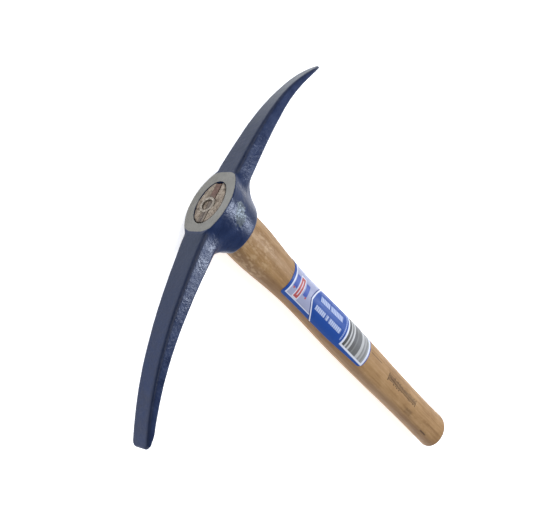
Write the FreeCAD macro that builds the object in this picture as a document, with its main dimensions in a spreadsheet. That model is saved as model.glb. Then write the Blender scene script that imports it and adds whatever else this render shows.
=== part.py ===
"""Chisel-and-point pick: a forged two-ended head on an oval hickory handle.

Millimetres. The tool lies on its side.
  +X runs along the handle, from the ground eye face at x = 0 to the butt.
  +Y runs towards the point, so the chisel is at -Y.
  +Z is up, through the cheek that carries the stamped flat.
The origin is the centre of the ground eye face, on the handle's axis.
"""
import FreeCAD, Part
import math
import os
import Sketcher

Vector = FreeCAD.Vector

# ---------------------------------------------------------------- driving dimensions

SIZES = {
    # whole tool
    "overall_length": 378.0,
    "point_reach": 147.6,
    "chisel_reach": 151.4,
    # eye boss: bowed cheeks and square ends, narrowing from the eye face to the base
    "boss_depth": 32.0,
    "face_half_length": 24.5,
    "face_half_width": 17.4,
    "face_end_half_width": 8.0,
    "base_half_length": 18.6,
    "base_half_width": 15.0,
    "base_end_half_width": 7.2,
    # arms: the crown falls away from the face, slowly at first and then faster
    "arm_bury": 12.0,
    "arm_root_chamfer": 1.9,
    "point_fall": 31.0,
    "point_straight_share": 0.2,
    "point_root_depth": 15.9,
    "point_tip_depth": 2.6,
    "point_depth_swell": 1.4,
    "point_root_half_width": 9.8,
    "point_tip_half_width": 3.3,
    "point_width_swell": 0.0,
    "point_tip_chamfer": 0.6,
    "chisel_fall": 37.2,
    "chisel_straight_share": 0.43,
    "chisel_root_depth": 15.9,
    "chisel_tip_depth": 6.7,
    "chisel_depth_swell": -0.6,
    "chisel_root_half_width": 10.1,
    "chisel_tip_half_width": 7.1,
    "chisel_width_swell": -0.3,
    "chisel_tip_chamfer": 1.2,
    # nose of the point: how far back it starts, as a share of the arm, and how much width it keeps
    "point_nose_share": 0.06,
    "point_nose_width": 0.5,
    # working end of the chisel: bevelled underneath, with its corners taken off
    "chisel_edge_depth": 2.6,
    "chisel_bevel_slope": 0.17,
    "chisel_corner_cut": 2.4,
    # webs that carry the undersides of the arms down to the base of the boss
    "web_start": 31.5,
    "web_radius": 25.0,
    "web_overlap_share": 0.5,
    # eye through the boss, and the tenon that fills it
    "eye_face_half_length": 16.3,
    "eye_face_half_width": 10.8,
    "eye_base_half_length": 15.4,
    "eye_base_half_width": 10.4,
    # stamped flat on the upper cheek
    "stamp_radius": 8.0,
    "stamp_centre_x": 13.5,
    "stamp_depth": 0.6,
    # handle: half-width in the swing plane at each station, and how flat it is
    "handle_flatness": 0.78,
    "shoulder_half_width": 16.5,
    "collar_x": 48.0,
    "collar_half_width": 16.9,
    "neck_x": 94.0,
    "neck_half_width": 14.5,
    "middle_x": 150.0,
    "middle_half_width": 15.1,
    "swell_x": 222.0,
    "swell_half_width": 16.2,
    "waist_x": 318.0,
    "waist_half_width": 15.9,
    "butt_half_width": 16.9,
    "butt_rounding": 5.0,
    # wooden wedge in the sawn kerf
    "kerf_depth": 24.0,
    "kerf_face_half_width": 2.4,
    "kerf_tip_half_width": 0.5,
    "wedge_point_gap": 1.7,
    "wedge_chisel_gap": 0.9,
    # steel ring wedge driven into the end grain, a little off centre
    "ring_depth": 16.0,
    "ring_outer_radius": 6.0,
    "ring_inner_radius": 4.0,
    "ring_tip_outer_radius": 5.3,
    "ring_tip_inner_radius": 4.9,
    "ring_core_recess": 1.0,
    "ring_centre_y": -1.8,
    "ring_centre_z": -1.6,
    # wrap label: thin sheet round most of the handle, open on the underside
    "label_start": 87.6,
    "label_end": 209.8,
    "label_thickness": 0.2,
    "label_first_edge_angle": 156.0,
    "label_bare_angle": 165.0,
    # how far cutting outlines run past the solid that they cut
    "cut_margin": 30.0,
}

doc = FreeCAD.newDocument("pick")


def make_sheet():
    """Write every driving dimension to its own aliased cell."""
    sheet = doc.addObject("Spreadsheet::Sheet", "Sizes")
    for row, (name, value) in enumerate(SIZES.items(), start=1):
        sheet.set("A%d" % row, name.replace("_", " "))
        sheet.set("B%d" % row, str(value))
        sheet.setAlias("B%d" % row, name)
    doc.recompute()


def size(name):
    """An expression for one cell of the sheet."""
    return "Sizes." + name


# ---------------------------------------------------------------- sketch helpers

def new_body(label):
    body = doc.addObject("PartDesign::Body", label)
    body.Label = label
    return body


def origin_feature(body, role):
    return next(item for item in body.Origin.OriginFeatures if item.Role == role)


def new_sketch(body, name, plane, offset=None):
    """A sketch on one of the body's own planes, set off along the plane's normal."""
    sketch = body.newObject("Sketcher::SketchObject", name)
    sketch.AttachmentSupport = [(origin_feature(body, plane), "")]
    sketch.MapMode = "FlatFace"
    if offset:
        sketch.setExpression("AttachmentOffset.Base.z", offset)
    return sketch


def drive(sketch, constraint, expression):
    """Add a dimension and bind it to an expression."""
    index = sketch.addConstraint(constraint)
    sketch.setExpression("Constraints[%d]" % index, expression)


def drive_point(sketch, edge, end, start, place):
    """Hold one end of an edge at a place given by two expressions."""
    across, along = place
    drive(sketch, Sketcher.Constraint("DistanceX", -1, 1, edge, end, start.x), across)
    drive(sketch, Sketcher.Constraint("DistanceY", -1, 1, edge, end, start.y), along)


def draw_polygon(sketch, corners):
    """A closed outline of straight edges through corners given by expressions."""
    count = len(corners)
    turn = 2 * math.pi / count
    starts = [Vector(math.cos(turn * i), math.sin(turn * i), 0) for i in range(count)]
    first = sketch.GeometryCount
    for i in range(count):
        sketch.addGeometry(Part.LineSegment(starts[i], starts[(i + 1) % count]))
    for i, corner in enumerate(corners):
        edge = first + i
        following = first + (i + 1) % count
        sketch.addConstraint(Sketcher.Constraint("Coincident", edge, 2, following, 1))
        drive_point(sketch, edge, 1, starts[i], corner)


def draw_ellipse(sketch, half_length, half_width):
    """An ellipse about the sketch's origin, longer along the sketch's first axis."""
    long_start, short_start = 5.0, 3.0
    ends = Vector(long_start, 0, 0), Vector(0, short_start, 0)
    sketch.addGeometry(Part.Ellipse(*ends, Vector(0, 0, 0)))
    sketch.exposeInternalGeometry(0)
    sketch.addConstraint(Sketcher.Constraint("Coincident", 0, 3, -1, 1))
    sketch.addConstraint(Sketcher.Constraint("Horizontal", 1))
    drive(sketch, Sketcher.Constraint("Distance", 1, 2 * long_start), "2*(%s)" % half_length)
    drive(sketch, Sketcher.Constraint("Distance", 2, 2 * short_start), "2*(%s)" % half_width)


def draw_bowed_outline(sketch, prefix):
    """The boss in plan: two bowed cheeks joined by two square ends."""
    half_length, half_width, end = (
        size(prefix + part) for part in ("_half_length", "_half_width", "_end_half_width"))
    length_start, width_start, end_start = (
        SIZES[prefix + part] for part in ("_half_length", "_half_width", "_end_half_width"))
    corners = [(+1, +1), (-1, +1), (-1, -1), (+1, -1)]
    starts = [Vector(length_start * a, end_start * b, 0) for a, b in corners]
    sketch.addGeometry(Part.Arc(starts[0], Vector(0, width_start, 0), starts[1]))
    sketch.addGeometry(Part.LineSegment(starts[1], starts[2]))
    sketch.addGeometry(Part.Arc(starts[2], Vector(0, -width_start, 0), starts[3]))
    sketch.addGeometry(Part.LineSegment(starts[3], starts[0]))
    for edge, (a, b) in enumerate(corners):
        sketch.addConstraint(Sketcher.Constraint("Coincident", edge, 2, (edge + 1) % 4, 1))
        place = "%d*%s" % (a, half_length), "%d*%s" % (b, end)
        drive_point(sketch, edge, 1, starts[edge], place)
    rise = "(%s-%s)" % (half_width, end)
    radius = "(%s^2+%s^2)/(2*%s)" % (half_length, rise, rise)
    bow_start = width_start - end_start
    radius_start = (length_start ** 2 + bow_start ** 2) / (2 * bow_start)
    for arc in (0, 2):
        drive(sketch, Sketcher.Constraint("Radius", arc, radius_start), radius)


# ---------------------------------------------------------------- feature helpers

def loft(body, kind, name, sections):
    """A PartDesign loft through the sections, in order. kind is Additive or Subtractive."""
    feature = body.newObject("PartDesign::%sLoft" % kind, name)
    feature.Profile = sections[0]
    feature.Sections = sections[1:]
    feature.Ruled = False
    for section in sections:
        section.Visibility = False
    doc.recompute()
    return feature


def extrude(body, kind, name, sketch, **settings):
    """A Pad or Pocket of the sketch. A Length is an expression."""
    feature = body.newObject("PartDesign::" + kind, name)
    feature.Profile = sketch
    length = settings.pop("Length", None)
    for key, value in settings.items():
        setattr(feature, key, value)
    if length:
        feature.setExpression("Length", length)
    sketch.Visibility = False
    doc.recompute()
    return feature


def turn_about_x(body, kind, name, corners):
    """Revolve or groove a profile about the line through the ring wedge's centre."""
    sketch = new_sketch(body, name + "_profile", "XY_Plane", size("ring_centre_z"))
    sketch.setExpression("AttachmentOffset.Base.y", size("ring_centre_y"))
    draw_polygon(sketch, corners)
    feature = body.newObject("PartDesign::" + kind, name)
    feature.Profile = sketch
    feature.ReferenceAxis = (sketch, ["H_Axis"])
    feature.Angle = 360
    sketch.Visibility = False
    doc.recompute()
    return feature


def between(root, tip, swell, u):
    """A size that runs from root to tip along an arm, with extra (or less) midway."""
    return "(%s*(1-%s)+%s*%s+4*%s*%s*(1-%s))" % (size(root), u, size(tip), u, size(swell), u, u)


# ---------------------------------------------------------------- head

def arm_section(body, arm, side, u, width_kept="1"):
    """One cross-section of an arm: a rectangle with its four corners taken off.

    u is 0 where the crown leaves the ground face and 1 at the tip.
    """
    reach = "(%s-%s)" % (size(arm + "_reach"), size("face_half_length"))
    distance = "(%s+%s*%s)" % (size("face_half_length"), u, reach)
    share = size(arm + "_straight_share")
    crown = "(%s*(%s*%s+(1-%s)*%s^3))" % (size(arm + "_fall"), share, u, share, u)
    depth = between(arm + "_root_depth", arm + "_tip_depth", arm + "_depth_swell", u)
    half = between(arm + "_root_half_width", arm + "_tip_half_width", arm + "_width_swell", u)
    half = "(%s*%s)" % (half, width_kept)
    root_cut = size("arm_root_chamfer")
    cut = "(%s+(%s-%s)*%s)" % (root_cut, size(arm + "_tip_chamfer"), root_cut, u)
    levels = ["%s+%s" % (crown, cut), crown, crown, "%s+%s" % (crown, cut)]
    levels += ["%s+%s-%s" % (crown, depth, cut), "%s+%s" % (crown, depth)]
    levels += ["%s+%s" % (crown, depth), "%s+%s-%s" % (crown, depth, cut)]
    narrow = "(%s-%s)" % (half, cut)
    widths = [half, narrow, "-" + narrow, "-" + half, "-" + half, "-" + narrow, narrow, half]
    offset = "%d*%s" % (-side, distance)
    sketch = new_sketch(body, arm + "_section", "XZ_Plane", offset)
    draw_polygon(sketch, list(zip(levels, widths)))
    return sketch


def add_arm(body, arm, side):
    """Loft one arm from a section buried in the boss to its tip, which on the point has a nose."""
    reach = "(%s-%s)" % (size(arm + "_reach"), size("face_half_length"))
    buried = "(-%s/%s)" % (size("arm_bury"), reach)
    stations = [buried, "0", "0.25", "0.5", "0.75"]
    sections = [arm_section(body, arm, side, u) for u in stations]
    if arm == "point":
        sections.append(arm_section(body, arm, side, "(1-%s)" % size("point_nose_share")))
        sections.append(arm_section(body, arm, side, "1", size("point_nose_width")))
    else:
        sections.append(arm_section(body, arm, side, "1"))
    return loft(body, "Additive", arm + "_arm", sections)


def add_webs(body):
    """Webs under both arms, one drawn and one mirrored."""
    sketch = new_sketch(body, "web_outline", "XY_Plane")
    overlap = size("web_overlap_share")
    inner = "%s*%s" % (overlap, size("base_half_length"))
    top = "%s*%s" % (overlap, size("chisel_root_depth"))
    foot = size("chisel_root_depth"), size("web_start")
    base = size("boss_depth"), size("base_half_length")
    places = [foot, base, (size("boss_depth"), inner), (top, inner), (top, size("web_start"))]
    foot_start = Vector(SIZES["chisel_root_depth"], SIZES["web_start"], 0)
    base_start = Vector(SIZES["boss_depth"], SIZES["base_half_length"], 0)
    inner_start = SIZES["web_overlap_share"] * SIZES["base_half_length"]
    top_start = SIZES["web_overlap_share"] * SIZES["chisel_root_depth"]
    chord = base_start - foot_start
    inward = Vector(chord.y, -chord.x, 0).normalize()
    sagitta = chord.Length ** 2 / (8 * SIZES["web_radius"])
    waypoint = (foot_start + base_start) / 2 + inward * sagitta
    starts = [foot_start, base_start, Vector(base_start.x, inner_start, 0)]
    starts += [Vector(top_start, inner_start, 0), Vector(top_start, foot_start.y, 0)]
    sketch.addGeometry(Part.Arc(foot_start, waypoint, base_start))
    for i in range(1, len(starts)):
        sketch.addGeometry(Part.LineSegment(starts[i], starts[(i + 1) % len(starts)]))
    for i, place in enumerate(places):
        following = (i + 1) % len(places)
        sketch.addConstraint(Sketcher.Constraint("Coincident", i, 2, following, 1))
        drive_point(sketch, i, 1, starts[i], place)
    drive(sketch, Sketcher.Constraint("Radius", 0, SIZES["web_radius"]), size("web_radius"))
    width = "2*" + size("base_end_half_width")
    web = extrude(body, "Pad", "point_web", sketch, Length=width, Midplane=True)
    mirrored = body.newObject("PartDesign::Mirrored", "chisel_web")
    mirrored.Originals = [web]
    mirrored.MirrorPlane = (origin_feature(body, "XZ_Plane"), [""])
    body.Tip = mirrored
    doc.recompute()


def cut_ground_face(body):
    """Grind everything off above the eye face."""
    sketch = new_sketch(body, "ground_area", "YZ_Plane")
    half = "(%s+%s)" % (size("face_half_length"), size("cut_margin"))
    draw_polygon(sketch, [(half, half), ("-" + half, half), ("-" + half, "-" + half), (half, "-" + half)])
    extrude(body, "Pocket", "ground_face", sketch, Length=size("cut_margin"))


def cut_chisel_end(body):
    """Bevel the underside up to the working edge, then take off the two corners."""
    sketch = new_sketch(body, "bevel_outline", "XY_Plane")
    margin = size("cut_margin")
    edge_x = "(%s+%s)" % (size("chisel_fall"), size("chisel_edge_depth"))
    beyond = "-(%s+%s)" % (size("chisel_reach"), margin)
    within = "-(%s-%s)" % (size("chisel_reach"), margin)
    lean = "%s*%s" % (size("chisel_bevel_slope"), margin)
    far_x = "(%s+2*%s)" % (edge_x, margin)
    corners = [("%s+%s" % (edge_x, lean), beyond), (far_x, beyond)]
    corners += [(far_x, within), ("%s-%s" % (edge_x, lean), within)]
    draw_polygon(sketch, corners)
    extrude(body, "Pocket", "chisel_bevel", sketch, Type="ThroughAll", Midplane=True)

    sketch = new_sketch(body, "corner_outline", "YZ_Plane")
    cut = size("chisel_corner_cut")
    end = "-" + size("chisel_reach")
    past = "-(%s+%s)" % (size("chisel_reach"), cut)
    half = size("chisel_tip_half_width")
    for sign in ("", "-"):
        corner = [(end, "%s(%s-%s)" % (sign, half, cut)), (past, "%s(%s-%s)" % (sign, half, cut))]
        corner += [(past, "%s(%s+%s)" % (sign, half, cut))]
        corner += [("%s+%s" % (end, "2*" + cut), "%s(%s+%s)" % (sign, half, cut))]
        draw_polygon(sketch, corner)
    extrude(body, "Pocket", "chisel_corners", sketch, Type="ThroughAll", Midplane=True)


def eye_sections(body):
    """The eye's two ovals: the wider one at the ground face, the other at the base."""
    at_face = new_sketch(body, "eye_at_face", "YZ_Plane")
    draw_ellipse(at_face, size("eye_face_half_length"), size("eye_face_half_width"))
    at_base = new_sketch(body, "eye_at_base", "YZ_Plane", size("boss_depth"))
    draw_ellipse(at_base, size("eye_base_half_length"), size("eye_base_half_width"))
    return [at_face, at_base]


def cut_stamp(body):
    """A round stamped flat, sunk into the bow of the upper cheek."""
    depth = "(%s-%s)" % (size("face_half_width"), size("stamp_depth"))
    sketch = new_sketch(body, "stamp_outline", "XY_Plane", depth)
    start = Vector(SIZES["stamp_centre_x"], 0, 0)
    sketch.addGeometry(Part.Circle(start, Vector(0, 0, 1), SIZES["stamp_radius"]))
    sketch.addConstraint(Sketcher.Constraint("PointOnObject", 0, 3, -1))
    drive(sketch, Sketcher.Constraint("DistanceX", -1, 1, 0, 3, start.x), size("stamp_centre_x"))
    drive(sketch, Sketcher.Constraint("Radius", 0, SIZES["stamp_radius"]), size("stamp_radius"))
    extrude(body, "Pocket", "stamp_flat", sketch, Length=size("cut_margin"), Reversed=True)


def make_head():
    body = new_body("pick_head")
    at_face = new_sketch(body, "boss_at_face", "YZ_Plane")
    draw_bowed_outline(at_face, "face")
    at_base = new_sketch(body, "boss_at_base", "YZ_Plane", size("boss_depth"))
    draw_bowed_outline(at_base, "base")
    loft(body, "Additive", "boss", [at_face, at_base])
    add_arm(body, "point", +1)
    add_arm(body, "chisel", -1)
    add_webs(body)
    cut_ground_face(body)
    cut_chisel_end(body)
    loft(body, "Subtractive", "eye", eye_sections(body))
    cut_stamp(body)
    return body


# ---------------------------------------------------------------- handle and its wedges

def oval(body, name, place, half_width, extra="0"):
    """An oval across the handle, flat in the same proportion as all the others."""
    sketch = new_sketch(body, name, "YZ_Plane", place)
    flat = "(%s)*%s" % (half_width, size("handle_flatness"))
    draw_ellipse(sketch, "%s+%s" % (half_width, extra), "%s+%s" % (flat, extra))
    return sketch


def grip_sections(body, extra="0"):
    """Ovals along the handle, from the shoulder under the head to where the butt rounds off."""
    stations = [("boss_depth", "shoulder"), ("collar_x", "collar"), ("neck_x", "neck")]
    stations += [("middle_x", "middle"), ("swell_x", "swell"), ("waist_x", "waist")]
    sections = [
        oval(body, name + "_oval", size(place), size(name + "_half_width"), extra)
        for place, name in stations]
    full_x = "%s-%s" % (size("overall_length"), size("butt_rounding"))
    return sections + [oval(body, "butt_oval", full_x, size("butt_half_width"), extra)]


BUTT_ANGLES = (0, 30, 60, 90)


def butt_sections(body):
    """Ovals that shrink along a quarter circle, which rounds the butt's edge."""
    sections = []
    for angle in BUTT_ANGLES:
        radius, turn = size("butt_rounding"), "%d*1deg" % angle
        place = "%s-%s*(1-sin(%s))" % (size("overall_length"), radius, turn)
        half_width = "%s-%s*(1-cos(%s))" % (size("butt_half_width"), radius, turn)
        sections.append(oval(body, "butt_round", place, half_width))
    return sections


def draw_kerf(sketch):
    """The tapering slot, which the wooden wedge fills."""
    wide, narrow, deep = (
        size(name) for name in ("kerf_face_half_width", "kerf_tip_half_width", "kerf_depth"))
    draw_polygon(sketch, [("0", wide), ("0", "-" + wide), (deep, "-" + narrow), (deep, narrow)])


RING_TIP = [("ring_depth", "ring_tip_outer_radius"), ("ring_depth", "ring_tip_inner_radius")]


def ring_profile():
    """Half-section of the ring: thick at the face, sharp at the driven end."""
    tip = [(size(depth), size(radius)) for depth, radius in RING_TIP]
    return [("0", size("ring_inner_radius")), ("0", size("ring_outer_radius"))] + tip


def ring_seat_profile():
    """The ring's own section, and the end grain crushed below the face inside it."""
    tip = [(size(depth), size(radius)) for depth, radius in RING_TIP]
    inner, tip_inner = size("ring_inner_radius"), size("ring_tip_inner_radius")
    recess, depth = size("ring_core_recess"), size("ring_depth")
    at_recess = "(%s+(%s-%s)*%s/%s)" % (inner, tip_inner, inner, recess, depth)
    return [("0", "0"), ("0", size("ring_outer_radius"))] + tip + [(recess, at_recess), (recess, "0")]


def make_handle():
    body = new_body("handle")
    loft(body, "Additive", "grip", grip_sections(body))
    loft(body, "Additive", "butt", butt_sections(body))
    loft(body, "Additive", "tenon", eye_sections(body))
    kerf = new_sketch(body, "kerf_outline", "XZ_Plane")
    draw_kerf(kerf)
    extrude(body, "Pocket", "kerf", kerf, Type="ThroughAll", Midplane=True)
    turn_about_x(body, "Groove", "ring_seat", ring_seat_profile())
    return body


def make_kerf_wedge():
    """The wooden wedge, which stops short of the eye's wall at both ends."""
    body = new_body("kerf_wedge")
    point_end, chisel_end = (
        "(%s-%s)" % (size("eye_face_half_length"), size(gap))
        for gap in ("wedge_point_gap", "wedge_chisel_gap"))
    sketch = new_sketch(body, "wedge_outline", "XZ_Plane", "-" + point_end)
    draw_kerf(sketch)
    length = "%s+%s" % (point_end, chisel_end)
    extrude(body, "Pad", "wedge", sketch, Length=length)
    turn_about_x(body, "Groove", "ring_seat_in_wedge", ring_seat_profile())
    return body


def make_ring_wedge():
    body = new_body("ring_wedge")
    turn_about_x(body, "Revolution", "ring", ring_profile())
    return body


# ---------------------------------------------------------------- label

# Corners of the open sector: share of the bare angle, and reach in cut margins.
SECTOR_CORNERS = ((0, 2), (0.5, 4), (1, 2))


def make_label(handle):
    """A sleeve one label thickness thick, trimmed to length and opened underneath."""
    body = new_body("label_blank")
    loft(body, "Additive", "sleeve", grip_sections(body, size("label_thickness")))

    half = size("cut_margin")
    head_end = "(%s-%s)" % (size("boss_depth"), half)
    butt_end = "(%s+%s)" % (size("overall_length"), half)
    ends = new_sketch(body, "label_ends", "XY_Plane")
    for low, high in ((head_end, size("label_start")), (size("label_end"), butt_end)):
        draw_polygon(ends, [(low, "-" + half), (high, "-" + half), (high, half), (low, half)])
    extrude(body, "Pocket", "trim_ends", ends, Type="ThroughAll", Midplane=True)

    bare = new_sketch(body, "bare_sector", "YZ_Plane")
    corners = [("0", "0")]
    for share, reach in SECTOR_CORNERS:
        angle = "(%s+%s*%s)*1deg" % (size("label_first_edge_angle"), share, size("label_bare_angle"))
        corners.append(tuple("%s*%s*%s(%s)" % (reach, half, f, angle) for f in ("cos", "sin")))
    draw_polygon(bare, corners)
    extrude(body, "Pocket", "open_underside", bare, Type="ThroughAll", Midplane=True)

    label = doc.addObject("Part::Cut", "label")
    label.Label = "label"
    label.Base = body
    label.Tool = handle
    doc.recompute()
    return label


# ---------------------------------------------------------------- build, check and write

make_sheet()
handle = make_handle()
PIECES = [make_head(), handle, make_kerf_wedge(), make_ring_wedge(), make_label(handle)]
doc.recompute()

for item in doc.Objects:
    if "Invalid" in item.State or "Error" in item.State:
        raise RuntimeError("%s did not compute: %s" % (item.Name, item.State))

os.makedirs("parts", exist_ok=True)
for piece in PIECES:
    shape = piece.Shape
    if shape.isNull() or not shape.isValid() or len(shape.Solids) != 1:
        raise RuntimeError("%s is not one valid solid" % piece.Label)
    shape.exportStep(os.path.join("parts", piece.Label + ".step"))
    box = shape.optimalBoundingBox(False)
    print("%-12s %9.1f mm3  x %.1f..%.1f  y %.1f..%.1f  z %.1f..%.1f" % (
        piece.Label, shape.Volume, box.XMin, box.XMax, box.YMin, box.YMax, box.ZMin, box.ZMax))
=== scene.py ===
import math

import bmesh
import bpy
import numpy as np
from mathutils import Matrix, Vector, noise
from mathutils.bvhtree import BVHTree


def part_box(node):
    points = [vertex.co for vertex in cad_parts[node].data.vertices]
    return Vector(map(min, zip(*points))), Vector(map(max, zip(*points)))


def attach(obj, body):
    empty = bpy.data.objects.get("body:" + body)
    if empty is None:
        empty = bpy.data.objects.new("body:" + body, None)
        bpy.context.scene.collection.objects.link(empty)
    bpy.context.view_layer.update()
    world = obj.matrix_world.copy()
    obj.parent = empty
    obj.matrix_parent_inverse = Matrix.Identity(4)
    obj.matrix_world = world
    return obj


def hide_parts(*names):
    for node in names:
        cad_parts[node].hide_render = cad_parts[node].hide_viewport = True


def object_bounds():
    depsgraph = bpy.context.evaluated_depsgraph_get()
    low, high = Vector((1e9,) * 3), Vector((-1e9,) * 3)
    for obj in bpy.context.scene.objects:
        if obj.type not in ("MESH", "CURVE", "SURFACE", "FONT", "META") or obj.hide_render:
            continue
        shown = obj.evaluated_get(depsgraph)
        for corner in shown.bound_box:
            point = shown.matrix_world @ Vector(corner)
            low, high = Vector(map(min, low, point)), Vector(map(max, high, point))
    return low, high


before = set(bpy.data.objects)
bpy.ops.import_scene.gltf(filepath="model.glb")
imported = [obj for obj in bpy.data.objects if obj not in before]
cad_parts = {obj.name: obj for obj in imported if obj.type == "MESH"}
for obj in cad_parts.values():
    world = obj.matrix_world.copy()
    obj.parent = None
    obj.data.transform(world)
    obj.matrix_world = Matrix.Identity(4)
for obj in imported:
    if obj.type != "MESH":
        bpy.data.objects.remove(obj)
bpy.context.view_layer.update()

# Lengths below are in millimetres unless they say otherwise; MM turns them into metres.
MM = 0.001

# ------------------------------------------------------------------ camera

CAMERA_PLACE = (-269.05, -195.30, 333.11)
CAMERA_RIGHT = (0.51641, 0.38193, 0.76645)
CAMERA_UP = (-0.54282, 0.83824, -0.05197)
CAMERA_LENS = 48.04
SENSOR_WIDTH = 36.0


def place_camera():
    """A view down on the eye face, rolled so that the point aims up and the handle down right."""
    data = bpy.data.cameras.new("main_camera")
    data.sensor_fit = "HORIZONTAL"
    data.sensor_width = SENSOR_WIDTH
    data.lens = CAMERA_LENS
    data.clip_start = 0.01
    data.clip_end = 100.0
    camera = bpy.data.objects.new("main_camera", data)
    bpy.context.scene.collection.objects.link(camera)
    right = Vector(CAMERA_RIGHT).normalized()
    back = right.cross(Vector(CAMERA_UP)).normalized()
    up = back.cross(right)
    turn = Matrix((right, up, back)).transposed().to_4x4()
    camera.matrix_world = Matrix.Translation(Vector(CAMERA_PLACE) * MM) @ turn
    bpy.context.scene.camera = camera


# ------------------------------------------------------------------ studio

# The lamps face this place on the handle, close behind the head.
LAMP_TARGET = (40, 0, 0)
# Half the width of the floor, in metres.
FLOOR_REACH = 12.0


def soft_light(name, direction, distance, width, power, colour=(1, 1, 1)):
    """A square area light along a direction from the lamps' target, facing it."""
    data = bpy.data.lights.new(name, "AREA")
    data.shape = "SQUARE"
    data.size = width * MM
    data.energy = power
    data.color = colour
    light = bpy.data.objects.new(name, data)
    bpy.context.scene.collection.objects.link(light)
    aim = Vector(direction).normalized()
    light.location = (Vector(LAMP_TARGET) + aim * distance) * MM
    light.rotation_mode = "QUATERNION"
    light.rotation_quaternion = aim.to_track_quat("Z", "Y")


def pale_sky():
    """A sky that is bright near the horizon and dimmer overhead."""
    world = bpy.data.worlds.new("pale_sky")
    world.use_nodes = True
    tree = world.node_tree
    sky = tree.nodes["Background"]
    sky.inputs["Color"].default_value = (0.92, 0.96, 1.0, 1.0)
    aim = tree.nodes.new("ShaderNodeTexCoord")
    split = tree.nodes.new("ShaderNodeSeparateXYZ")
    tree.links.new(aim.outputs["Generated"], split.inputs[0])
    fade = tree.nodes.new("ShaderNodeMapRange")
    fade.interpolation_type = "SMOOTHSTEP"
    for name, value in (("From Min", 0.10), ("From Max", 0.45), ("To Min", 1.0), ("To Max", 0.24)):
        fade.inputs[name].default_value = value
    tree.links.new(split.outputs[2], fade.inputs["Value"])
    tree.links.new(fade.outputs[0], sky.inputs["Strength"])
    bpy.context.scene.world = world


def white_floor():
    """A plain white floor that glows a little, so that shadows on it stay faint."""
    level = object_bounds()[0].z
    mesh = bpy.data.meshes.new("studio_floor")
    corners = [(x * FLOOR_REACH, y * FLOOR_REACH, level)
               for x, y in ((-1, -1), (1, -1), (1, 1), (-1, 1))]
    mesh.from_pydata(corners, [], [(0, 1, 2, 3)])
    floor = bpy.data.objects.new("studio_floor", mesh)
    bpy.context.scene.collection.objects.link(floor)
    graph = Graph("white_sweep")
    tone = graph.noise(graph.place(0.01), 2)
    graph.set("Base Color", graph.blend(tone, (0.93, 0.93, 0.93), (0.95, 0.95, 0.945)))
    graph.fixed(Roughness=0.8, Emission_Color=(1.0, 1.0, 1.0, 1.0), Emission_Strength=0.74)
    mesh.materials.append(graph.material)


def studio():
    """Soft lamps, sky and floor."""
    bpy.context.scene.view_settings.view_transform = "Standard"
    pale_sky()
    soft_light("overhead", (-0.30, 0.25, 0.92), distance=1500, width=1700, power=13.5)
    soft_light("glint", (0.60, 0.36, 0.71), distance=620, width=130, power=2.0,
               colour=(0.84, 0.93, 1.12))
    white_floor()


# ------------------------------------------------------------------ material graphs

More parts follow.
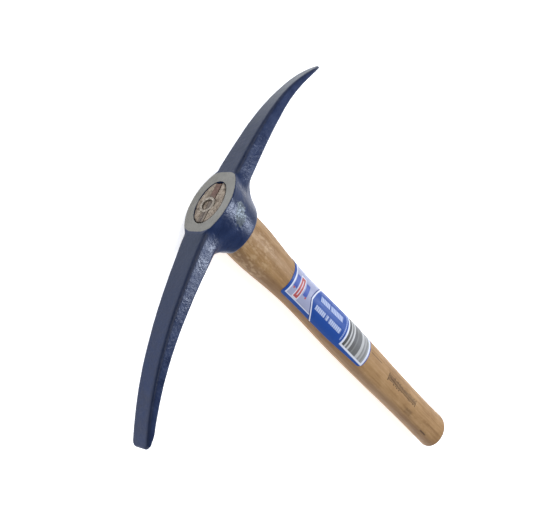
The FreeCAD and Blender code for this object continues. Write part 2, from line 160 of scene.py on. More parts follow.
class Graph:
    """One Principled material and short calls that add nodes to it."""

    def __init__(self, name):
        self.material = bpy.data.materials.new(name)
        self.material.use_nodes = True
        self.tree = self.material.node_tree
        self.shader = self.tree.nodes["Principled BSDF"]
        self.object_place = None

    def node(self, kind, **settings):
        made = self.tree.nodes.new(kind)
        for key, value in settings.items():
            setattr(made, key, value)
        return made

    def feed(self, socket, value):
        """Link a socket or set a plain value."""
        if isinstance(value, bpy.types.NodeSocket):
            self.tree.links.new(value, socket)
        elif isinstance(value, tuple) and socket.type == "RGBA":
            socket.default_value = (*value, 1.0)
        else:
            socket.default_value = value

    def set(self, name, value):
        """Feed one of the shader's own sockets."""
        self.feed(self.shader.inputs[name], value)

    def fixed(self, **values):
        """Plain values on the shader's own sockets."""
        for name, value in values.items():
            self.shader.inputs[name.replace("_", " ")].default_value = value

    def place(self, *scale, shift=(0, 0, 0), turn=(0, 0, 0)):
        """Object coordinates in millimetres, scaled, then turned and shifted."""
        if self.object_place is None:
            self.object_place = self.node("ShaderNodeTexCoord").outputs["Object"]
        if len(scale) == 1:
            scale = scale * 3
        mapping = self.node("ShaderNodeMapping")
        self.feed(mapping.inputs["Vector"], self.object_place)
        mapping.inputs["Location"].default_value = shift
        mapping.inputs["Rotation"].default_value = turn
        mapping.inputs["Scale"].default_value = tuple(s / MM for s in scale)
        return mapping.outputs["Vector"]

    def axes(self, vector):
        split = self.node("ShaderNodeSeparateXYZ")
        self.feed(split.inputs[0], vector)
        return split.outputs[0], split.outputs[1], split.outputs[2]

    def math(self, operation, *values):
        made = self.node("ShaderNodeMath", operation=operation)
        for socket, value in zip(made.inputs, values):
            self.feed(socket, value)
        return made.outputs[0]

    def add(self, a, b):
        return self.math("ADD", a, b)

    def sub(self, a, b):
        return self.math("SUBTRACT", a, b)

    def mul(self, a, b):
        return self.math("MULTIPLY", a, b)

    def most(self, *values):
        """The largest of the values."""
        found = values[0]
        for value in values[1:]:
            found = self.math("MAXIMUM", found, value)
        return found

    def step(self, value, low, high, to_low=0.0, to_high=1.0):
        """Smooth step of a value from low to high."""
        made = self.node("ShaderNodeMapRange", interpolation_type="SMOOTHSTEP")
        for name, number in (("Value", value), ("From Min", low), ("From Max", high),
                             ("To Min", to_low), ("To Max", to_high)):
            self.feed(made.inputs[name], number)
        return made.outputs[0]

    def band(self, value, low, high, soft):
        """1 between low and high, falling to 0 over a soft edge."""
        return self.mul(self.step(value, low - soft, low + soft),
                        self.step(value, high - soft, high + soft, 1.0, 0.0))

    def box(self, x, y, low_x, high_x, low_y, high_y, soft_x, soft_y):
        """1 inside a rectangle, with soft sides."""
        return self.mul(self.band(x, low_x, high_x, soft_x), self.band(y, low_y, high_y, soft_y))

    def noise(self, vector, detail, rough=0.55):
        made = self.node("ShaderNodeTexNoise")
        for name, value in (("Vector", vector), ("Scale", 1.0),
                            ("Detail", detail), ("Roughness", rough)):
            self.feed(made.inputs[name], value)
        return made.outputs["Fac"]

    def cell_edges(self, vector):
        """Distance to the nearest edge between random cells."""
        made = self.node("ShaderNodeTexVoronoi", feature="DISTANCE_TO_EDGE")
        self.feed(made.inputs["Vector"], vector)
        self.feed(made.inputs["Scale"], 1.0)
        return made.outputs["Distance"]

    def blend(self, factor, first, second):
        made = self.node("ShaderNodeMix", data_type="RGBA")
        self.feed(made.inputs[0], factor)
        self.feed(made.inputs[6], first)
        self.feed(made.inputs[7], second)
        return made.outputs[2]

    def ramp(self, factor, stops):
        """A colour for each stop's position, and smooth change between them."""
        made = self.node("ShaderNodeValToRGB")
        self.feed(made.inputs[0], factor)
        elements = made.color_ramp.elements
        while len(elements) < len(stops):
            elements.new(0.5)
        for element, (position, colour) in zip(elements, stops):
            element.position = position
            element.color = (*colour, 1.0)
        return made.outputs[0]

    def attribute(self, name):
        return self.node("ShaderNodeAttribute", attribute_name=name).outputs["Fac"]

    def bump(self, height, distance, strength=1.0, normal=None):
        made = self.node("ShaderNodeBump")
        made.inputs["Strength"].default_value = strength
        made.inputs["Distance"].default_value = distance * MM
        self.feed(made.inputs["Height"], height)
        if normal is not None:
            self.feed(made.inputs["Normal"], normal)
        return made.outputs[0]


# ------------------------------------------------------------------ fine meshes from the CAD nodes

# Points closer than these, in metres, become one.
NODE_WELD = 1e-6
SHEET_WELD = 1e-7
# Rounds of Skin.fill between fresh normals.
FILL_REFRESH = 10
# How a seed moves the noise of field().
SEED_PATH = (1.0, 1.7, 0.6)


class Skin:
    """A fine remesh of a CAD node, as arrays in millimetres."""

    def __init__(self, node, name, voxel):
        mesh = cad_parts[node].data.copy()
        form = bmesh.new()
        form.from_mesh(mesh)
        bmesh.ops.remove_doubles(form, verts=form.verts, dist=NODE_WELD)
        form.to_mesh(mesh)
        form.free()
        mesh.materials.clear()
        self.tree = BVHTree.FromPolygons([v.co[:] for v in mesh.vertices],
                                         [p.vertices[:] for p in mesh.polygons])
        rough = bpy.data.objects.new(name + "_rough", mesh)
        bpy.context.scene.collection.objects.link(rough)
        remesh = rough.modifiers.new("voxels", "REMESH")
        remesh.mode = "VOXEL"
        remesh.voxel_size = voxel * MM
        seen = rough.evaluated_get(bpy.context.evaluated_depsgraph_get())
        self.mesh = bpy.data.meshes.new_from_object(seen)
        self.mesh.name = name
        bpy.data.objects.remove(rough)
        self.name, self.node = name, node
        count = len(self.mesh.vertices)
        flat = np.empty(count * 3)
        self.mesh.vertices.foreach_get("co", flat)
        self.co = flat.reshape(-1, 3) / MM
        edges = np.empty(len(self.mesh.edges) * 2, int)
        self.mesh.edges.foreach_get("vertices", edges)
        self.ends = edges.reshape(-1, 2)
        self.degree = np.bincount(edges, minlength=count).clip(1)

    def snap(self):
        """Put every point on the CAD surface; the remesh leaves it up to half a voxel off."""
        for index, point in enumerate(self.co):
            near = self.tree.find_nearest(point * MM)[0]
            self.co[index] = (near.x / MM, near.y / MM, near.z / MM)

    def mean(self, values):
        """The mean of each point's neighbours."""
        a, b = self.ends.T
        count = len(values)
        columns = [np.bincount(a, values[b, k], count) + np.bincount(b, values[a, k], count)
                   for k in range(values.shape[1])]
        return np.stack(columns, 1) / self.degree[:, None]

    def smooth(self, rounds, weight=1.0, shrink=0.0):
        """Relax towards the neighbours, then back by shrink to keep the volume."""
        weight = np.broadcast_to(weight, (len(self.co),))[:, None]
        for _ in range(rounds):
            self.co += weight * 0.5 * (self.mean(self.co) - self.co)
            if shrink:
                self.co -= weight * shrink * (self.mean(self.co) - self.co)

    def fill(self, rounds, where):
        """Raise hollows along the normals, which turns inside corners into fillets."""
        for index in range(rounds):
            if index % FILL_REFRESH == 0:
                outward = self.normals()
            rise = ((self.mean(self.co) - self.co) * outward).sum(1).clip(0)
            self.co += outward * (rise * where)[:, None]

    def normals(self):
        self.write()
        flat = np.empty(len(self.co) * 3)
        self.mesh.vertices.foreach_get("normal", flat)
        return flat.reshape(-1, 3)

    def write(self):
        self.mesh.vertices.foreach_set("co", (self.co * MM).ravel())
        self.mesh.update()

    def store(self, name, values):
        """Keep one number a point for the material to read."""
        layer = self.mesh.attributes.new(name, "FLOAT", "POINT")
        layer.data.foreach_set("value", values.astype(np.float32))

    def finish(self, material):
        """Make the piece, held inside the box of the node that it replaces."""
        low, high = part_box(self.node)
        self.co = self.co.clip(np.array(low) / MM, np.array(high) / MM)
        self.write()
        self.mesh.polygons.foreach_set("use_smooth", [True] * len(self.mesh.polygons))
        self.mesh.materials.clear()
        self.mesh.materials.append(material)
        piece = bpy.data.objects.new(self.name, self.mesh)
        bpy.context.scene.collection.objects.link(piece)
        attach(piece, "root")
        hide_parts(self.node)


def field(points, wavelength, seed, octaves=3):
    """Smooth noise from -1 to 1 at each point."""
    shift = Vector([seed * part for part in SEED_PATH])
    return np.array([noise.fractal(Vector(p) / wavelength + shift, 1.0, 2.0, octaves)
                     for p in points])


def ease(values, low, high):
    """Smooth step of an array from low to high, either of which may be the larger."""
    t = ((values - low) / (high - low)).clip(0, 1)
    return t * t * (3 - 2 * t)


# ------------------------------------------------------------------ head

HEAD_VOXEL = 0.5
# Points nearer than this to the plane of the eye face belong to it.
FACE_DEPTH = 0.02
# The bore round the tenon: half sizes, a margin round them, how far in along the handle, and how
# far its wall is set back from the tenon.
BORE_HALF_LENGTH = 16.6
BORE_HALF_WIDTH = 11.1
BORE_MARGIN = 1.06
BORE_REACH = 17.5
BORE_DEPTH = 33.0
BORE_SETBACK = 0.22
# The worn silver patch on the cheek, part bare metal and part painted highlight, along its own
# length and width.
STAMP_PLACE = (14.3, 0.1)
STAMP_ANGLE = math.atan2(-15.3, 11.0)
STAMP_HALF_LENGTH = 9.6
STAMP_HALF_WIDTH = 5.5
STAMP_RELIEF = 0.32
# The ends of the boss at the eye face, and how far along them the ground area reaches.
BOSS_END = 24.5
BOSS_END_HALF_WIDTH = 8.0
BOSS_CORNER = 3.0
GROUND_END = 23.3
GROUND_CENTRE = 0.6
GROUND_CORNER = 4.0
# How far a point stands out from its neighbours on a sharp edge.
EDGE_BEND = 0.074
# Unevenness of the forging: wavelength, seed, octaves and height of each swell.
FORGED_SWELLS = ((16.0, 3.0, 3, 0.10), (4.5, 8.0, 2, 0.035))


def ground_mask(graph, x, y, z):
    """1 on the ground eye face, whose four corners are rounded off."""
    across = graph.math("ABSOLUTE", graph.sub(y, GROUND_CENTRE))
    over = graph.most(graph.sub(across, GROUND_END - GROUND_CORNER), 0.0)
    round_off = graph.sub(GROUND_CORNER ** 2, graph.mul(over, over))
    limit = graph.math("SQRT", graph.most(round_off, 0.0))
    limit = graph.add(limit, BOSS_END_HALF_WIDTH - GROUND_CORNER)
    limit = graph.add(limit, graph.most(graph.mul(graph.sub(GROUND_END, across), 1.2), 0.0))
    inside = graph.step(graph.sub(graph.math("ABSOLUTE", z), limit), -0.3, 0.3, 1, 0)
    ends = graph.step(across, GROUND_END - 0.25, GROUND_END + 0.25, 1, 0)
    return graph.mul(graph.mul(graph.step(x, 0.10, 0.22, 1, 0), ends), inside)


def stamp_masks(graph, z):
    """The stamp, scuffed to bare metal and with a painted highlight: where it lies, where it is
    silver, and how far down its length.
    """
    turned = graph.place(1.0, turn=(0, 0, -STAMP_ANGLE))
    c, s = math.cos(STAMP_ANGLE), math.sin(STAMP_ANGLE)
    along_x = STAMP_PLACE[0] * c + STAMP_PLACE[1] * s
    along_y = -STAMP_PLACE[0] * s + STAMP_PLACE[1] * c
    turned_x, turned_y, _ = graph.axes(turned)
    u = graph.mul(graph.sub(turned_x, along_x), 1 / STAMP_HALF_LENGTH)
    v = graph.mul(graph.sub(turned_y, along_y), 1 / STAMP_HALF_WIDTH)
    reach = graph.math("SQRT", graph.add(graph.mul(u, u), graph.mul(v, v)))
    wobble = graph.sub(graph.noise(graph.place(0.28), 5, 0.65), 0.5)
    ragged = graph.add(reach, graph.mul(wobble, 1.9))
    inside = graph.mul(graph.step(ragged, 0.72, 1.0, 1, 0), graph.step(z, 5.0, 8.0))
    flakes = graph.noise(graph.place(0.75), 5, 0.72)
    lower = graph.step(u, -0.1, 0.55)
    # silver flakes: worn bare metal and painted highlight
    wear_and_glint = graph.step(graph.sub(flakes, graph.mul(lower, 0.10)), 0.42, 0.60)
    return inside, graph.mul(inside, wear_and_glint), lower


def head_material():
    """Navy enamel with crowns greyed by painted reflection, a worn silver stamp with a painted
    highlight, and a ground steel eye face.
    """
    graph = Graph("navy_enamel")
    x, y, z = graph.axes(graph.place(1.0))
    mottle = graph.noise(graph.place(0.11), 5, 0.6)
    fine = graph.noise(graph.place(1.1), 4, 0.6)
    navy = graph.ramp(mottle, [(0.30, (0.0040, 0.0140, 0.056)), (0.55, (0.0062, 0.0205, 0.078)),
                               (0.75, (0.0095, 0.027, 0.096))])
    navy = graph.blend(graph.step(fine, 0.55, 0.75, 0, 0.30), navy, (0.017, 0.032, 0.090))
    # painted shade: the band darkens the navy along the crowns' edges, where they would reflect
    # dark
    navy = graph.blend(graph.mul(graph.attribute("band"), 0.65), navy, (0.0045, 0.010, 0.032))
    # painted reflection greys the crowns more than the sides; towards the point's tip they are
    # lighter still, from worn paint and painted reflection
    crown = graph.attribute("crown")
    crown_reflection = graph.mul(crown, graph.step(mottle, 0.25, 0.75, 0.35, 0.9))
    crown_reflection = graph.mul(crown_reflection, graph.step(y, -125.0, -20.0))
    navy = graph.blend(crown_reflection, navy, (0.018, 0.028, 0.056))
    # worn paint and painted reflection: lighter grey on the crowns near the point's tip
    near_tip = graph.step(graph.add(y, graph.mul(graph.sub(mottle, 0.5), 70.0)), 55.0, 130.0)
    tip_wear_and_reflection = graph.mul(crown, graph.mul(near_tip, graph.step(fine, 0.25, 0.65, 0.65, 1.0)))
    navy = graph.blend(tip_wear_and_reflection, navy, (0.118, 0.132, 0.155))
    specks = graph.step(graph.noise(graph.place(1.9), 2, 0.5), 0.70, 0.76)
    navy = graph.blend(graph.mul(specks, 0.35), navy, (0.10, 0.12, 0.17))
    # small chips on the edges
    wear = graph.step(graph.add(graph.attribute("edge"), graph.mul(fine, 0.35)), 0.50, 0.72)
    chips = graph.mul(wear, graph.step(graph.noise(graph.place(0.30), 4, 0.7), 0.60, 0.68))
    stamp, silver, lower = stamp_masks(graph, z)
    ground = ground_mask(graph, x, y, z)
    lines = graph.noise(graph.place(0.2, 0.25, 3.2), 4, 0.6)
    steel = graph.ramp(lines, [(0.25, (0.165, 0.164, 0.155)), (0.75, (0.245, 0.241, 0.227))])
    colour = graph.blend(graph.mul(stamp, 0.85), navy, (0.050, 0.066, 0.078))
    shade = graph.blend(lower, (0.27, 0.31, 0.335), (0.090, 0.115, 0.115))
    # the stamp's silver: worn bare metal and painted highlight
    colour = graph.blend(silver, colour, shade)
    colour = graph.blend(graph.mul(chips, 0.6), colour, (0.16, 0.18, 0.22))
    colour = graph.blend(ground, colour, steel)
    graph.set("Base Color", colour)
    bare = graph.most(graph.mul(ground, 0.9), graph.mul(silver, 0.35), graph.mul(chips, 0.4))
    graph.set("Metallic", bare)
    rough = graph.step(mottle, 0.3, 0.7, 0.27, 0.42)
    graph.set("Roughness", graph.add(rough, graph.mul(graph.most(bare, crown, stamp), 0.14)))
    orange_peel = graph.noise(graph.place(0.50), 3, 0.5)
    normal = graph.bump(orange_peel, 0.34, 0.6)
    normal = graph.bump(fine, 0.06, 0.5, normal)
    graph.set("Normal", normal)
    graph.fixed(IOR=1.42)
    return graph.material


def build_head():
    """The forging: filleted arm roots, rounded corners, uneven skin and stamp relief."""
    skin = Skin("pick_head", "forged_head", HEAD_VOXEL)
    skin.snap()
    flat_face = skin.co[:, 0] < FACE_DEPTH
    x, y, z = skin.co.T.copy()
    in_bore = np.hypot(y / BORE_HALF_LENGTH, z / BORE_HALF_WIDTH) < BORE_MARGIN
    hollow = in_bore & (np.abs(y) < BORE_REACH) & (x < BORE_DEPTH) & ~flat_face
    skin.smooth(8, shrink=0.5)
    skin.smooth(6)
    # fillets where the arms and webs leave the boss, and a soft change from one to the other
    skin.fill(210, 0.9 * ease(np.abs(y), 14.0, 19.0) * ~hollow * ~flat_face)
    root = ease(np.abs(y), 12.0, 17.0) * ease(np.abs(y), 38.0, 30.0)
    skin.smooth(40, root * ease(x, 5.0, 9.0) * ~hollow)
    # rounded corners at the ends of the eye face, and a rounded edge at the base of the boss
    away = (np.abs(y) - BOSS_END) ** 2 + (np.abs(z) - BOSS_END_HALF_WIDTH) ** 2
    corner = np.exp(-away / BOSS_CORNER ** 2)
    skin.smooth(65, corner * ease(x, 16.0, 8.0))
    skin.smooth(24, ease(x, 28.5, 31.5) * (np.abs(y) < 24.0) * ~hollow)
    skin.co[flat_face, 0] = 0.0
    outward = skin.normals()
    x, y, z = skin.co.T
    free = (~flat_face & ~hollow).astype(float)
    swell = sum(field(skin.co, wavelength, seed, octaves) * height
                for wavelength, seed, octaves, height in FORGED_SWELLS)
    skin.co += outward * (swell * free * ease(x, 0.0, 2.0))[:, None]
    # a point on a convex edge stands out from the mean of its neighbours
    convex = ((skin.co - skin.mean(skin.co)) * outward).sum(1)
    skin.store("edge", (convex / EDGE_BEND).clip(0, 1))
    # crowns face away from the handle and get painted reflection in the material; a darker band of
    # painted shade, standing in for a dark reflection, runs along each of their edges
    on_arm = ease(np.abs(y), 21.0, 26.0)
    lean = np.abs(outward[:, 2])
    ahead = ease(-outward[:, 0], 0.05, 0.35)
    crown = on_arm * ahead * ease(lean, 0.45, 0.2)
    band = on_arm * ahead * ease(lean, 0.25, 0.5) * ease(lean, 0.995, 0.93)
    for _ in range(8):
        band = skin.mean(band[:, None])[:, 0]
    skin.store("crown", crown)
    skin.store("band", (band * 1.5).clip(0, 1))
    # stamp relief on the cheek
    du, dv = x - STAMP_PLACE[0], y - STAMP_PLACE[1]
    c, s = math.cos(STAMP_ANGLE), math.sin(STAMP_ANGLE)
    u = (du * c + dv * s) / STAMP_HALF_LENGTH
    v = (-du * s + dv * c) / STAMP_HALF_WIDTH
    inside = ease(np.hypot(u, v), 1.15, 0.70) * (z > 6)
    relief = field(skin.co, 2.2, 21.0, 2) * STAMP_RELIEF
    skin.co[:, 2] += relief * inside
    skin.co[flat_face, 0] = 0.0
    # the wall of the bore stands back from the tenon
    wall = hollow & (np.abs(outward[:, 0]) < 0.8)
    pull = outward.copy()
    pull[:, 0] = 0
    skin.co -= pull * (wall * BORE_SETBACK)[:, None]
    skin.finish(head_material())


# ------------------------------------------------------------------ handle

HANDLE_VOXEL = 0.7
TENON_HALF_LENGTH = 16.3
TENON_HALF_WIDTH = 10.8
# How deep the weathered end grain goes, and how far the tenon's end may sink.
END_GRAIN_DEPTH = 2.2
END_SINK = 1.2
# Where the row of burned ticks runs along the handle, and from one tick to the next.
BURN_START, BURN_END = 248.0, 308.0
BURN_PITCH = 2.3
# Other marks in the wood: start and end along x, low and high angle, strength.
MARKS = ((340, 352, 148.5, 153.5, 0.9), (298, 310, 126, 146, 0.35), (213, 233, 70.5, 74.5, 0.6))


def wood_colours(graph, light, mid, dark, ring_gap, pith):
    """Grain of a stick split along its length: growth rings about a far pith, pores, flecks."""
    warp = graph.noise(graph.place(0.006, 0.05, 0.05), 3, 0.5)
    x, y, z = graph.axes(graph.place(1.0))
    off_y = graph.sub(graph.add(y, graph.mul(warp, 16.0)), graph.add(graph.mul(x, 0.012), pith[0]))
    off_z = graph.sub(graph.add(z, graph.mul(warp, 11.0)), graph.add(graph.mul(x, -0.02), pith[1]))
    radius = graph.math("SQRT", graph.add(graph.mul(off_y, off_y), graph.mul(off_z, off_z)))
    jitter = graph.noise(graph.place(0.02, 0.35, 0.35), 4, 0.6)
    phase = graph.add(graph.mul(radius, 1 / ring_gap), graph.mul(jitter, 1.3))
    ring = graph.math("FRACT", phase)
    late = graph.mul(graph.step(ring, 0.35, 0.95), graph.step(ring, 0.96, 1.0, 1, 0))
    late = graph.mul(late, graph.step(jitter, 0.35, 0.60))
    streak = graph.noise(graph.place(0.014, 0.45, 0.45), 5, 0.6)
    blotch = graph.noise(graph.place(0.045, 0.10, 0.10, shift=(5, 2, 9)), 4, 0.6)
    tone = graph.add(graph.mul(streak, 0.55), graph.mul(blotch, 0.45))
    colour = graph.ramp(tone, [(0.34, dark), (0.50, mid), (0.66, light)])
    colour = graph.blend(graph.mul(late, 0.20), colour, dark)
    broad = graph.noise(graph.place(0.007, 0.055, 0.055, shift=(3, 1, 7)), 3, 0.5)
    brown = (0.74 * mid[0], 0.66 * mid[1], 0.62 * mid[2])
    colour = graph.blend(graph.step(broad, 0.50, 0.75, 0, 0.35), colour, brown)
    pores = graph.step(graph.noise(graph.place(0.12, 2.2, 2.2), 2, 0.4), 0.62, 0.72)
    pores = graph.mul(pores, graph.step(ring, 0.0, 0.6, 1.0, 0.35))
    colour = graph.blend(graph.mul(pores, 0.40), colour, tuple(0.50 * c for c in dark))
    flecks = graph.step(graph.noise(graph.place(0.22, 1.1, 0.7), 2, 0.5), 0.64, 0.74)
    colour = graph.blend(graph.mul(flecks, 0.40), colour, tuple(min(1, 1.30 * c) for c in light))
    return colour, streak, pores


def polar_angle(graph, y, z):
    """Angle about the handle's axis from +Y towards +Z, in degrees."""
    return graph.mul(graph.math("ARCTAN2", z, y), 180 / math.pi)


def burned_marks(graph, x, angle):
    """A burned row of uneven ticks, and a few lone marks."""
    chance = graph.node("ShaderNodeTexWhiteNoise", noise_dimensions="1D")
    graph.feed(chance.inputs["W"], graph.math("FLOOR", graph.mul(x, 1 / BURN_PITCH)))
    share = chance.outputs["Value"]
    inside = graph.math("FRACT", graph.mul(x, 1 / BURN_PITCH))
    tick = graph.band(inside, 0.22, 0.80, 0.12)
    top = graph.add(graph.mul(share, 7.0), 99.0)
    foot = graph.sub(80.0, graph.mul(share, 6.0))
    tall = graph.mul(graph.step(angle, top, graph.add(top, 2.0), 1, 0),
                     graph.step(angle, foot, graph.add(foot, 2.0)))
    ticks = graph.mul(graph.mul(tick, tall), graph.band(x, BURN_START, BURN_END, 0.6))
    patchy = graph.step(graph.noise(graph.place(0.9, 0.9, 0.2), 3, 0.6), 0.34, 0.50, 0.50, 1.0)
    burned = graph.mul(ticks, patchy)
    for low_x, high_x, low_angle, high_angle, strength in MARKS:
        mark = graph.box(x, angle, low_x, high_x, low_angle, high_angle, 1.5, 1.5)
        burned = graph.most(burned, graph.mul(mark, graph.mul(patchy, strength)))
    return burned


def end_grain(graph, colour, x, depth):
    """Weathered grey-brown end grain with dark cracks, down to a depth below the eye face."""
    grime = graph.noise(graph.place(0.30), 5, 0.65)
    grey = graph.ramp(grime, [(0.30, (0.090, 0.066, 0.048)), (0.5, (0.285, 0.237, 0.192)),
                              (0.68, (0.370, 0.320, 0.265))])
    cracks = graph.cell_edges(graph.place(0.16, 0.22, 0.36))
    grey = graph.blend(graph.step(cracks, 0.010, 0.05, 0.75, 0), grey, (0.024, 0.017, 0.013))
    return graph.blend(graph.step(x, depth * 0.6, depth, 0.94, 0), colour, grey)


def handle_material():
    """Oiled hickory, gold flecks on the shoulder, a darker side that is part heartwood tone and
    part painted shade, and burned marks.
    """
    graph = Graph("hickory")
    colour, streak, pores = wood_colours(
        graph, light=(0.460, 0.285, 0.136), mid=(0.368, 0.213, 0.093), dark=(0.248, 0.134, 0.055),
        ring_gap=3.1, pith=(-34.0, -52.0))
    x, y, z = graph.axes(graph.place(1.0))
    angle = polar_angle(graph, y, z)
    # one side of the handle darker: heartwood tone and painted shade
    wander = graph.mul(graph.sub(graph.noise(graph.place(0.02), 3, 0.5), 0.5), 26.0)
    heartwood_and_shade = graph.step(graph.add(angle, wander), 142.0, 158.0)
    colour = graph.blend(graph.mul(heartwood_and_shade, 0.55), colour, (0.215, 0.118, 0.058))
    shoulder = graph.mul(graph.band(x, 30, 66, 9.0), graph.step(angle, 60, 84, 0.3, 1.0))
    gold = graph.step(graph.noise(graph.place(0.16, 0.30, 0.30), 5, 0.65), 0.45, 0.62)
    colour = graph.blend(graph.mul(shoulder, graph.mul(gold, 0.5)), colour, (0.62, 0.43, 0.245))
    colour = graph.blend(burned_marks(graph, x, angle), colour, (0.050, 0.024, 0.012))
    colour = end_grain(graph, colour, x, END_GRAIN_DEPTH)
    # painted shade: the wood's rim turns near black where it meets the bore
    colour = graph.blend(graph.attribute("gap_shade"), colour, (0.012, 0.009, 0.007))
    graph.set("Base Color", colour)
    graph.set("Roughness", graph.step(streak, 0.3, 0.7, 0.56, 0.46))
    height = graph.sub(streak, graph.mul(pores, 0.8))
    graph.set("Normal", graph.bump(height, 0.10, 0.30))
    graph.fixed(IOR=1.28)
    return graph.material


def build_handle():
    """The handle: a slightly uneven grip, and a dented tenon end with painted shade in the gap
    round it.
    """
    skin = Skin("handle", "hickory_handle", HANDLE_VOXEL)
    skin.snap()
    skin.smooth(6, shrink=0.5)
    outward = skin.normals()
    x, y, z = skin.co.T
    grip = ease(x, 34.0, 44.0)
    unevenness = field(skin.co * (0.25, 1, 1), 9.0, 5.0) * 0.10 - 0.06
    skin.co += outward * (unevenness * grip)[:, None]
    # painted shade in the gap between the tenon and the bore
    rim = np.hypot(y / TENON_HALF_LENGTH, z / TENON_HALF_WIDTH)
    gap_shade = ease(rim, 0.93, 0.98) * ease(x, 2.5, 0.8)
    skin.store("gap_shade", gap_shade * 0.9)
    end = ease(x, 1.2, 0.2)
    dent = field(skin.co, 5.0, 11.0) * 0.30 + 0.35
    skin.co[:, 0] += (dent * end).clip(0, END_SINK)
    skin.finish(handle_material())


# ------------------------------------------------------------------ wedges

def wedge_material():
    """Reddish stained wood, greyer and split on the chisel's side of the eye."""
    graph = Graph("stained_wedge")
    colour, streak, _ = wood_colours(
        graph, light=(0.200, 0.098, 0.070), mid=(0.135, 0.066, 0.047), dark=(0.070, 0.036, 0.027),
        ring_gap=1.4, pith=(-8.0, -14.0))
    _, y, z = graph.axes(graph.place(1.0))
    blotch = graph.noise(graph.place(0.28), 4, 0.6)
    grey = graph.step(graph.add(y, graph.mul(graph.sub(blotch, 0.5), 9.0)), 3.0, 5.5, 0.85, 0.12)
    grime = graph.ramp(blotch, [(0.32, (0.050, 0.037, 0.029)), (0.68, (0.230, 0.195, 0.160))])
    colour = graph.blend(grey, colour, grime)
    split_line = graph.math("ABSOLUTE", graph.sub(z, graph.mul(graph.sub(blotch, 0.5), 3.0)))
    crack = graph.step(split_line, 0.15, 0.55, 0.85, 0)
    crack = graph.mul(crack, graph.step(y, -2.0, 1.0, 1, 0.15))
    colour = graph.blend(crack, colour, (0.018, 0.012, 0.010))
    graph.set("Base Color", colour)
    graph.set("Roughness", graph.step(streak, 0.3, 0.7, 0.75, 0.58))
    graph.set("Normal", graph.bump(streak, 0.15, 0.5))
    return graph.material


def ring_material():
    """Bare steel under patches of brown grime."""
    graph = Graph("worn_steel_ring")
    grime = graph.noise(graph.place(0.7), 5, 0.65)
    colour = graph.ramp(grime, [(0.30, (0.10, 0.075, 0.055)), (0.52, (0.30, 0.265, 0.225)),
                                (0.72, (0.50, 0.46, 0.41))])
    graph.set("Base Color", colour)
    graph.set("Metallic", graph.step(grime, 0.35, 0.6, 0.15, 0.85))
    graph.set("Roughness", graph.step(grime, 0.3, 0.7, 0.62, 0.42))
    graph.set("Normal", graph.bump(grime, 0.15, 0.6))
    return graph.material


def build_wedges():
    """Both wedges, with hammered surfaces."""
    for node, name, voxel, material, slot in (
            ("kerf_wedge", "driven_wood_wedge", 0.3, wedge_material(), "wedge_wood"),
            ("ring_wedge", "driven_ring_wedge", 0.25, ring_material(), "bare_steel")):
        skin = Skin(node, name, voxel)
        skin.snap()
        skin.smooth(4, shrink=0.5)
        skin.smooth(2)
        outward = skin.normals()
        skin.co += outward * (field(skin.co, 2.2, 4.0) * 0.08 - 0.05)[:, None]
        skin.finish(material)


# ------------------------------------------------------------------ label

LABEL_START = 87.6
LABEL_END = 209.8
LABEL_FAR_ANGLE = -39.0
# The other long edge wanders: place along x, angle in degrees.
LABEL_EDGE = ((87.6, 157.0), (130.0, 158.5), (160.0, 156.0), (185.0, 151.0), (209.8, 147.5))
# Corner radii at the head's end and at the butt's end, and the handle's radius under them.
LABEL_NEAR_CORNER = 3.0
LABEL_BUTT_CORNER = 5.0
LABEL_RADIUS = 15.8
# How far the sheet's two faces stand off the wood.
LABEL_TOP = 0.19
LABEL_UNDERSIDE = 0.02
LABEL_ROWS = 130
# Rays that find the wood start this far from the axis, in metres.
RAY_START = 0.05

WHITE = (0.70, 0.72, 0.79)
BADGE_WHITE, BADGE_RED, BADGE_BLUE = (0.72, 0.74, 0.80), (0.46, 0.085, 0.080), (0.050, 0.095, 0.38)
# The chevron's place along x, and the angle of its tip.
CHEVRON_X, CHEVRON_ANGLE = 116.5, 97.0
# Shapes below: start and end along x, low and high angle, then softness and colour.
BADGE = ((92.6, 97.6, 66, 114, 3.0, BADGE_BLUE), (106.4, 111.4, 66, 114, 3.0, BADGE_BLUE),
         (98.2, 104.9, 56, 142, 2.0, BADGE_WHITE), (99.0, 104.1, 60, 138, 2.0, BADGE_RED),
         (101.2, 102.0, 70, 128, 1.5, BADGE_WHITE), (93.6, 95.4, 112, 119, 1.5, BADGE_RED),
         (109.8, 111.6, 112, 119, 1.5, BADGE_RED))
# Rows of plain bars: low and high angle, then the start and end of each bar.
NAME_ROWS = ((100, 118, ((125, 139), (140.4, 144), (145.4, 163))),
             (56, 77, ((128, 141), (142.6, 161))))
COMB_PITCH = 2.35
DOT_PITCH = 7.0
# Grey stripes that run round the handle: start and end along x, grey.
STRIPES = ((172.8, 176.2, 0.080), (176.2, 178.0, 0.52), (178.0, 180.3, 0.15), (180.3, 182.6, 0.55),
           (182.6, 186.8, 0.13), (186.8, 188.2, 0.20), (188.2, 194.4, 0.150), (194.4, 198.0, 0.48),
           (198.0, 200.2, 0.26), (200.2, 202.0, 0.38), (202.0, 204.4, 0.24))


def label_edge(x):
    """Angle of the label's wandering long edge from +Y towards +Z, in degrees."""
    return float(np.interp(x, *zip(*LABEL_EDGE)))


def emblem(graph, colour, x, angle, inside):
    """A plain generic badge: a red bar with a white core between blue blocks."""
    for low_x, high_x, low_angle, high_angle, soft, tint in BADGE:
        shape = graph.box(x, angle, low_x, high_x, low_angle, high_angle, 0.35, soft)
        colour = graph.blend(graph.mul(inside, shape), colour, tint)
    return colour


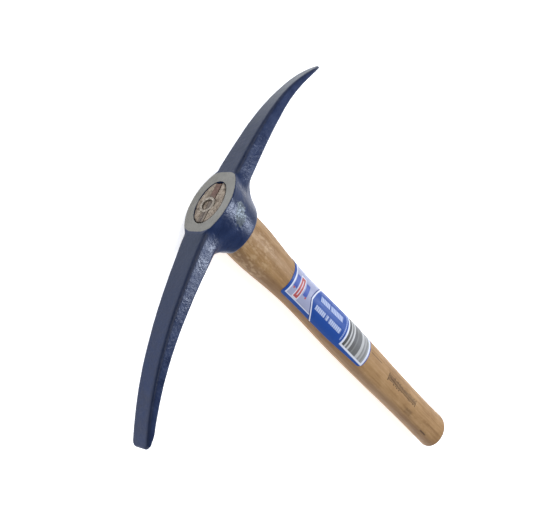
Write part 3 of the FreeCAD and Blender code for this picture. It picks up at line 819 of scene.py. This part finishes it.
def label_material():
    """Printed paper: a pale badge panel, a blue panel with plain bars, a striped panel."""
    graph = Graph("printed_label")
    x, y, z = graph.axes(graph.place(1.0))
    angle = polar_angle(graph, y, z)
    tone = graph.noise(graph.place(0.09), 3, 0.5)
    colour = graph.blend(tone, (0.007, 0.052, 0.27), (0.012, 0.072, 0.33))
    # the badge panel ends in a chevron, with a dark and a white line along it
    off = graph.sub(angle, CHEVRON_ANGLE)
    above, below = graph.most(off, 0.0), graph.most(graph.mul(off, -1.0), 0.0)
    curve = graph.mul(graph.mul(off, off), 0.00193)
    chevron = graph.add(graph.add(graph.mul(above, 0.104), graph.mul(below, 0.025)), curve)
    past = graph.sub(x, graph.add(chevron, CHEVRON_X))
    top = graph.step(angle, 145.0, 147.0, 1, 0)
    panel = graph.mul(graph.mul(graph.step(past, -1.0, -0.6, 1, 0), graph.step(x, 90.3, 90.7)), top)
    colour = graph.blend(panel, colour, WHITE)
    border = graph.mul(graph.step(x, 91.7, 92.2), graph.step(angle, 142.5, 144.0, 1, 0))
    inside = graph.mul(panel, border)
    colour = graph.blend(inside, colour, graph.blend(tone, (0.32, 0.34, 0.48), (0.39, 0.40, 0.54)))
    colour = emblem(graph, colour, x, angle, inside)
    colour = graph.blend(graph.band(past, -0.8, 0.3, 0.25), colour, (0.016, 0.030, 0.16))
    colour = graph.blend(graph.band(past, 0.4, 2.0, 0.25), colour, WHITE)
    # two rows of plain bars, and a faint dotted line across the label
    comb = graph.step(graph.math("FRACT", graph.mul(x, 1 / COMB_PITCH)), 0.16, 0.34, 0.25, 1.0)
    for low_angle, high_angle, bars in NAME_ROWS:
        for low_x, high_x in bars:
            bar = graph.box(x, angle, low_x, high_x, low_angle, high_angle, 0.3, 1.2)
            colour = graph.blend(graph.mul(bar, graph.mul(comb, 0.85)), colour, (0.52, 0.58, 0.74))
    dots = graph.step(graph.math("FRACT", graph.mul(angle, 1 / DOT_PITCH)), 0.2, 0.4, 0.35, 1.0)
    dashes = graph.box(x, angle, 167.0, 168.5, 20, 130, 0.3, 1.0)
    colour = graph.blend(graph.mul(dashes, graph.mul(dots, 0.7)), colour, (0.42, 0.50, 0.74))
    # a panel of grey stripes in a white frame
    frame_area = graph.box(x, angle, 170.6, 208.7, 0, 141.0, 0.25, 1.0)
    colour = graph.blend(frame_area, colour, WHITE)
    inner = graph.box(x, angle, 172.8, 206.2, 4, 134.5, 0.25, 1.0)
    colour = graph.blend(inner, colour, (0.31, 0.31, 0.29))
    for low_x, high_x, grey in STRIPES:
        stripe = graph.mul(inner, graph.band(x, low_x, high_x, 0.25))
        colour = graph.blend(stripe, colour, (grey, 0.98 * grey, 0.94 * grey))
    graph.set("Base Color", colour)
    scuff = graph.noise(graph.place(0.35), 4, 0.6)
    graph.set("Roughness", graph.step(scuff, 0.3, 0.7, 0.34, 0.50))
    graph.set("Normal", graph.bump(graph.noise(graph.place(0.12), 3, 0.5), 0.12, 0.5))
    graph.fixed(IOR=1.38)
    return graph.material


def build_label():
    """A thin closed sheet laid on the handle, with rounded corners."""
    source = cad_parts["handle"].data
    tree = BVHTree.FromPolygons([v.co[:] for v in source.vertices],
                                [p.vertices[:] for p in source.polygons])
    columns = np.unique(np.concatenate([np.linspace(LABEL_START, LABEL_END, 120),
                                        LABEL_START + np.linspace(0, LABEL_NEAR_CORNER, 9),
                                        LABEL_END - np.linspace(0, LABEL_BUTT_CORNER, 14)]))
    rows = LABEL_ROWS

    def lay(x, angle, lift):
        """A point above the wood at a place along the handle and an angle round it."""
        aim = Vector((0, math.cos(angle), math.sin(angle)))
        origin = Vector((x * MM, 0, 0)) + aim * RAY_START
        hit = tree.ray_cast(origin, -aim)[0]
        return hit + aim * lift * MM

    points, faces = [], []
    for x in columns:
        corner = LABEL_BUTT_CORNER if x > LABEL_END - LABEL_BUTT_CORNER else LABEL_NEAR_CORNER
        inset = max(0.0, x - (LABEL_END - corner), (LABEL_START + corner) - x)
        drop = corner - math.sqrt(max(0.0, corner ** 2 - inset ** 2))
        trim = math.degrees(drop / LABEL_RADIUS)
        first, last = label_edge(x) - trim, LABEL_FAR_ANGLE + trim
        for row in range(rows):
            angle = math.radians(first + (last - first) * row / (rows - 1))
            points.append(lay(x, angle, LABEL_TOP))
            points.append(lay(x, angle, LABEL_UNDERSIDE))
    # the two faces, the two long edges and the two ends
    for i in range(len(columns) - 1):
        for j in range(rows - 1):
            a, b = 2 * (i * rows + j), 2 * ((i + 1) * rows + j)
            faces.append((a, b, b + 2, a + 2))
            faces.append((a + 1, a + 3, b + 3, b + 1))
    for i in range(len(columns) - 1):
        for j, flip in ((0, False), (rows - 1, True)):
            a, b = 2 * (i * rows + j), 2 * ((i + 1) * rows + j)
            faces.append((a, b, b + 1, a + 1) if flip else (a, a + 1, b + 1, b))
    for i, flip in ((0, True), (len(columns) - 1, False)):
        for j in range(rows - 1):
            a, b = 2 * (i * rows + j), 2 * (i * rows + j + 1)
            faces.append((a, b, b + 1, a + 1) if flip else (a, a + 1, b + 1, b))
    mesh = bpy.data.meshes.new("label_sheet")
    mesh.from_pydata(points, [], faces)
    form = bmesh.new()
    form.from_mesh(mesh)
    bmesh.ops.remove_doubles(form, verts=form.verts, dist=SHEET_WELD)
    bmesh.ops.recalc_face_normals(form, faces=form.faces)
    form.to_mesh(mesh)
    form.free()
    mesh.polygons.foreach_set("use_smooth", [True] * len(mesh.polygons))
    mesh.materials.append(label_material())
    piece = bpy.data.objects.new("label_sheet", mesh)
    bpy.context.scene.collection.objects.link(piece)
    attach(piece, "root")
    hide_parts("label")


place_camera()
build_head()
build_handle()
build_wedges()
build_label()
studio()
